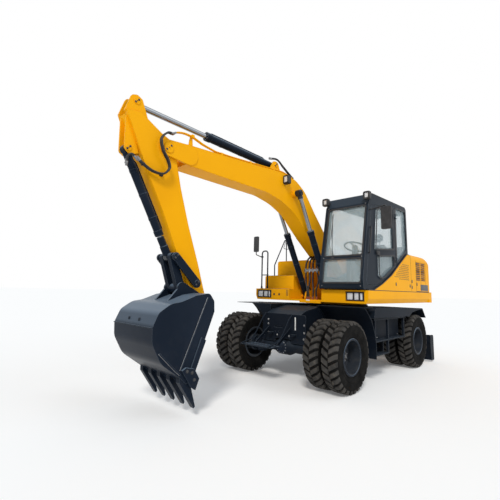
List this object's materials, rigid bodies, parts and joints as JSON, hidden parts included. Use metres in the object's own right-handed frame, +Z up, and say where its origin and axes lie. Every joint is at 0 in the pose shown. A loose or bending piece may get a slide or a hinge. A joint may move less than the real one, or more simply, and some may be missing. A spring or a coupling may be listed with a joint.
{
  "type": "wheeled excavator",
  "caption": "Wheeled excavator with twin tyres, steered front axle, rear dozer blade, slewing upper body with cab at the left, and a boom, arm and backhoe bucket on hydraulic cylinders.",
  "frame": {"origin": "on the ground, under the slew axis", "axes": "+X forward towards the boom, +Y to the cab side, +Z up"},
  "size_m": [7.225, 3.02, 3.7715],
  "materials": {
    "yellow_paint": "satin",
    "dark_paint": "satin",
    "grey_paint": "satin",
    "rod_chrome": "polished",
    "tyre_rubber": "matt",
    "cast_metal": "cast",
    "window_glass": "clear",
    "seat_cloth": "woven",
    "black_plastic": "matt",
    "lamp_plastic": "gloss"
  },
  "bodies": {
    "chassis": {"chassis_frame": "dark_paint", "front_axle": "dark_paint", "rear_axle": "dark_paint", "prop_shaft": "dark_paint", "fenders": "dark_paint", "side_steps": "dark_paint", "front_step": "dark_paint"},
    "knuckle_left": {"knuckle_left": "dark_paint"},
    "knuckle_right": {"knuckle_right": "dark_paint"},
    "steering_rod": {"steering_rod": "rod_chrome"},
    "wheels_front_left": {"tyres_front_left": "tyre_rubber", "rims_front_left": "dark_paint"},
    "wheels_front_right": {"tyres_front_right": "tyre_rubber", "rims_front_right": "dark_paint"},
    "wheels_rear_left": {"tyres_rear_left": "tyre_rubber", "rims_rear_left": "dark_paint"},
    "wheels_rear_right": {"tyres_rear_right": "tyre_rubber", "rims_rear_right": "dark_paint"},
    "blade": {"dozer_blade": "dark_paint"},
    "blade_barrels": {"blade_cylinder_barrels": "dark_paint"},
    "blade_rods": {"blade_cylinder_rods": "rod_chrome"},
    "upper": {"deck": "yellow_paint", "counterweight": "yellow_paint", "hood": "yellow_paint", "hood_louvres": "yellow_paint", "right_body": "yellow_paint", "engine": "cast_metal", "cab_frame": "grey_paint", "cab_glass": "window_glass", "seat": "seat_cloth", "controls": "black_plastic", "handrails": "dark_paint", "mirrors": "black_plastic", "lamps": "lamp_plastic"},
    "door": {"cab_door": "grey_paint", "door_glass": "window_glass"},
    "boom": {"boom": "yellow_paint", "boom_pipes": "yellow_paint", "boom_lamp": "lamp_plastic"},
    "boom_barrels": {"boom_cylinder_barrels": "dark_paint"},
    "boom_rods": {"boom_cylinder_rods": "rod_chrome"},
    "arm": {"arm": "yellow_paint"},
    "arm_barrel": {"arm_cylinder_barrel": "dark_paint"},
    "arm_rod": {"arm_cylinder_rod": "rod_chrome"},
    "bucket": {"bucket": "dark_paint"},
    "idlers": {"idler_links": "dark_paint"},
    "link": {"bucket_link": "dark_paint"},
    "bucket_barrel": {"bucket_cylinder_barrel": "dark_paint"},
    "bucket_rod": {"bucket_cylinder_rod": "rod_chrome"}
  },
  "joints": [
    {"name": "steer", "type": "hinge", "parent": "chassis", "child": "knuckle_left", "pos_m": [1.776, 0.6, 0.5275], "axis": [0, 0, 1], "range_deg": [-30, 30]},
    {"name": "steer_right", "type": "hinge", "parent": "chassis", "child": "knuckle_right", "pos_m": [1.776, -0.6, 0.5275], "axis": [0, 0, 1], "range_deg": [-30.5, 30.5]},
    {"name": "steer_rod_slide", "type": "slide", "parent": "chassis", "child": "steering_rod", "axis": [0, 1, 0], "range_m": [-0.1, 0.1]},
    {"name": "roll_front_left", "type": "hinge", "parent": "knuckle_left", "child": "wheels_front_left", "pos_m": [1.776, 0.98, 0.5275], "axis": [0, 1, 0], "continuous": true},
    {"name": "roll_front_right", "type": "hinge", "parent": "knuckle_right", "child": "wheels_front_right", "pos_m": [1.776, -0.98, 0.5275], "axis": [0, 1, 0], "continuous": true},
    {"name": "roll_rear_left", "type": "hinge", "parent": "chassis", "child": "wheels_rear_left", "pos_m": [-1.027, 0.98, 0.5275], "axis": [0, 1, 0], "continuous": true},
    {"name": "roll_rear_right", "type": "hinge", "parent": "chassis", "child": "wheels_rear_right", "pos_m": [-1.027, -0.98, 0.5275], "axis": [0, 1, 0], "continuous": true},
    {"name": "blade_lift", "type": "hinge", "parent": "chassis", "child": "blade", "pos_m": [-1.4, 0, 0.6], "axis": [0, 1, 0], "range_deg": [-12, 35]},
    {"name": "blade_barrel_turn", "type": "hinge", "parent": "chassis", "child": "blade_barrels", "pos_m": [-1.57, 0, 1.12], "axis": [0, 1, 0], "range_deg": [-5.6, 15.4]},
    {"name": "blade_rod_slide", "type": "slide", "parent": "blade_barrels", "child": "blade_rods", "axis": [-0.2569, 0, -0.9664], "range_m": [-0.21, 0.075]},
    {"name": "slew", "type": "hinge", "parent": "chassis", "child": "upper", "pos_m": [0, 0, 1.24], "axis": [0, 0, 1], "continuous": true},
    {"name": "door_swing", "type": "hinge", "parent": "upper", "child": "door", "pos_m": [-0.06, 1.235, 2.3], "axis": [0, 0, 1], "range_deg": [0, 165]},
    {"name": "boom_lift", "type": "hinge", "parent": "upper", "child": "boom", "pos_m": [0.05, 0, 1.75], "axis": [0, -1, 0], "range_deg": [-48, 23]},
    {"name": "boom_barrel_turn", "type": "hinge", "parent": "upper", "child": "boom_barrels", "pos_m": [0.78, 0, 1.4], "axis": [0, -1, 0], "range_deg": [-54.2, 26.2]},
    {"name": "boom_rod_slide", "type": "slide", "parent": "boom_barrels", "child": "boom_rods", "axis": [0.4873, 0, 0.8732], "range_m": [-0.593, 0.286]},
    {"name": "arm_swing", "type": "hinge", "parent": "boom", "child": "arm", "pos_m": [4.4, 0, 3.23], "axis": [0, 1, 0], "range_deg": [-97, 18]},
    {"name": "arm_barrel_turn", "type": "hinge", "parent": "boom", "child": "arm_barrel", "pos_m": [2.235, 0, 3.646], "axis": [0, 1, 0], "range_deg": [-3.3, 0.8]},
    {"name": "arm_rod_slide", "type": "slide", "parent": "arm_barrel", "child": "arm_rod", "axis": [0.9998, 0, 0.0189], "range_m": [-0.958, 0.18]},
    {"name": "bucket_curl", "type": "hinge", "parent": "arm", "child": "bucket", "pos_m": [3.745, 0, 1.285], "axis": [0, 1, 0], "range_deg": [0, 150]},
    {"name": "idler_turn", "type": "hinge", "parent": "arm", "child": "idlers", "pos_m": [3.888, 0, 1.545], "axis": [0, 1, 0], "range_deg": [-0.5, 137.5]},
    {"name": "link_turn", "type": "hinge", "parent": "idlers", "child": "link", "pos_m": [4.222, 0, 1.867], "axis": [0, 1, 0], "range_deg": [-92.5, 0.5]},
    {"name": "bucket_barrel_turn", "type": "hinge", "parent": "arm", "child": "bucket_barrel", "pos_m": [4.89, 0, 3.09], "axis": [0, 1, 0], "range_deg": [-8.2, 0.3]},
    {"name": "bucket_rod_slide", "type": "slide", "parent": "bucket_barrel", "child": "bucket_rod", "axis": [-0.4794, 0, -0.8776], "range_m": [-0.002, 0.85]}
  ],
  "couplings": [
    {"joint": "steer_right", "follows": "steer", "ratio": 1},
    {"joint": "steer_rod_slide", "follows": "steer", "m_per_rad": -0.183},
    {"joint": "blade_barrel_turn", "follows": "blade_lift", "ratio": 0.4268},
    {"joint": "blade_rod_slide", "follows": "blade_lift", "m_per_rad": -0.3375},
    {"joint": "boom_barrel_turn", "follows": "boom_lift", "ratio": 1.1225},
    {"joint": "boom_rod_slide", "follows": "boom_lift", "m_per_rad": 0.7039},
    {"joint": "arm_barrel_turn", "follows": "arm_swing", "ratio": 0.0322},
    {"joint": "arm_rod_slide", "follows": "arm_swing", "m_per_rad": 0.5644},
    {"joint": "idler_turn", "follows": "bucket_curl", "ratio": 0.9116},
    {"joint": "link_turn", "follows": "bucket_curl", "ratio": -0.6129},
    {"joint": "bucket_barrel_turn", "follows": "bucket_curl", "ratio": -0.0524},
    {"joint": "bucket_rod_slide", "follows": "bucket_curl", "m_per_rad": 0.3229}
  ]
}
